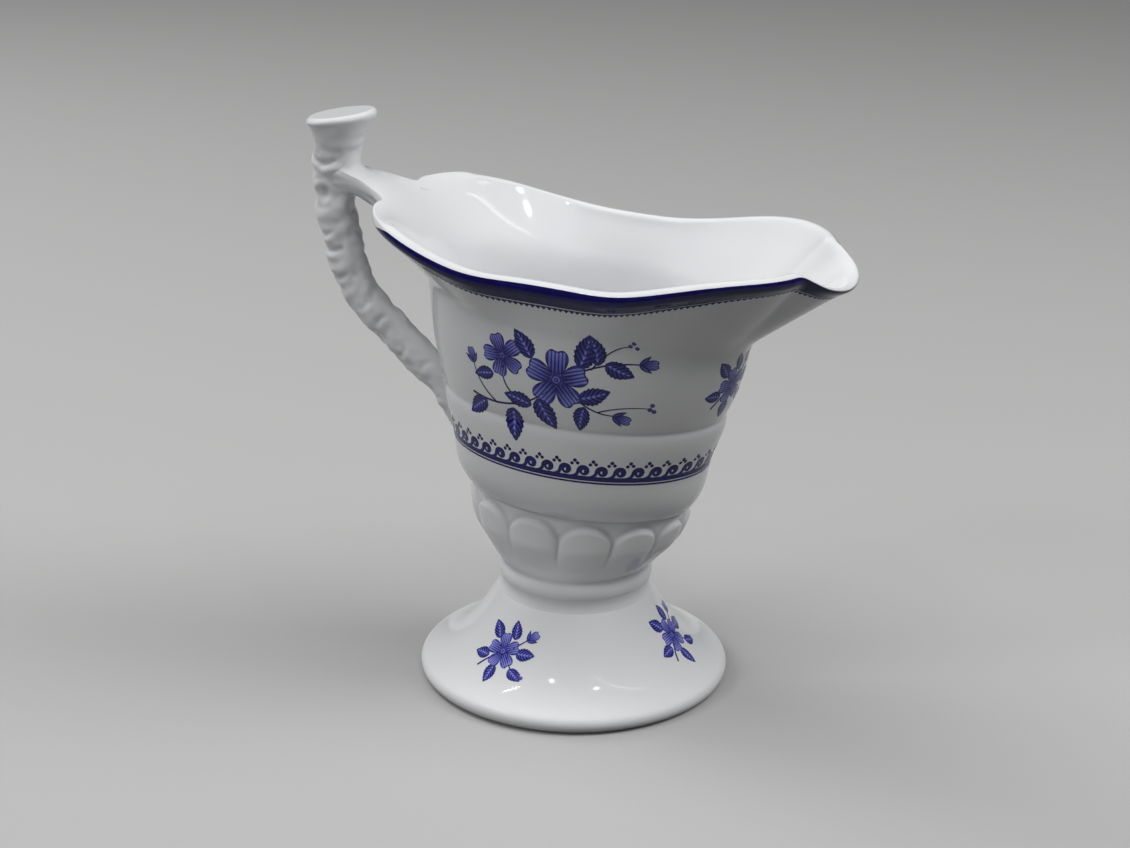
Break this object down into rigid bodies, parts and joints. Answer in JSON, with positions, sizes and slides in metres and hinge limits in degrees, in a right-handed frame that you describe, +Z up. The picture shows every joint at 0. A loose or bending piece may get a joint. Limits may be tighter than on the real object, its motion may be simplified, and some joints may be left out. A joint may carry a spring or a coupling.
{
  "type": "milk jug",
  "caption": "Helmet-shaped glazed porcelain milk jug with a beak spout, a moulded bowl on a bell foot, a gnarled branch handle and blue printed sprigs.",
  "frame": {"origin": "on the standing surface, under the middle of the jug's bounding box", "axes": "+X towards the spout, -X towards the handle, +Z up; the XZ plane is the jug's plane of symmetry"},
  "size_m": [0.1252, 0.0698, 0.1236],
  "materials": {
    "porcelain": "clear gloss glaze over white porcelain, with printed blue decoration",
    "fired_slip": "white fired slip under the same gloss glaze"
  },
  "bodies": {
    "root": {"bowl": "porcelain", "pedestal_foot": "porcelain", "branch_handle": "porcelain", "foot_luting_slip": "fired_slip", "handle_upper_luting_slip": "fired_slip", "handle_lower_luting_slip": "fired_slip"}
  },
  "joints": []
}
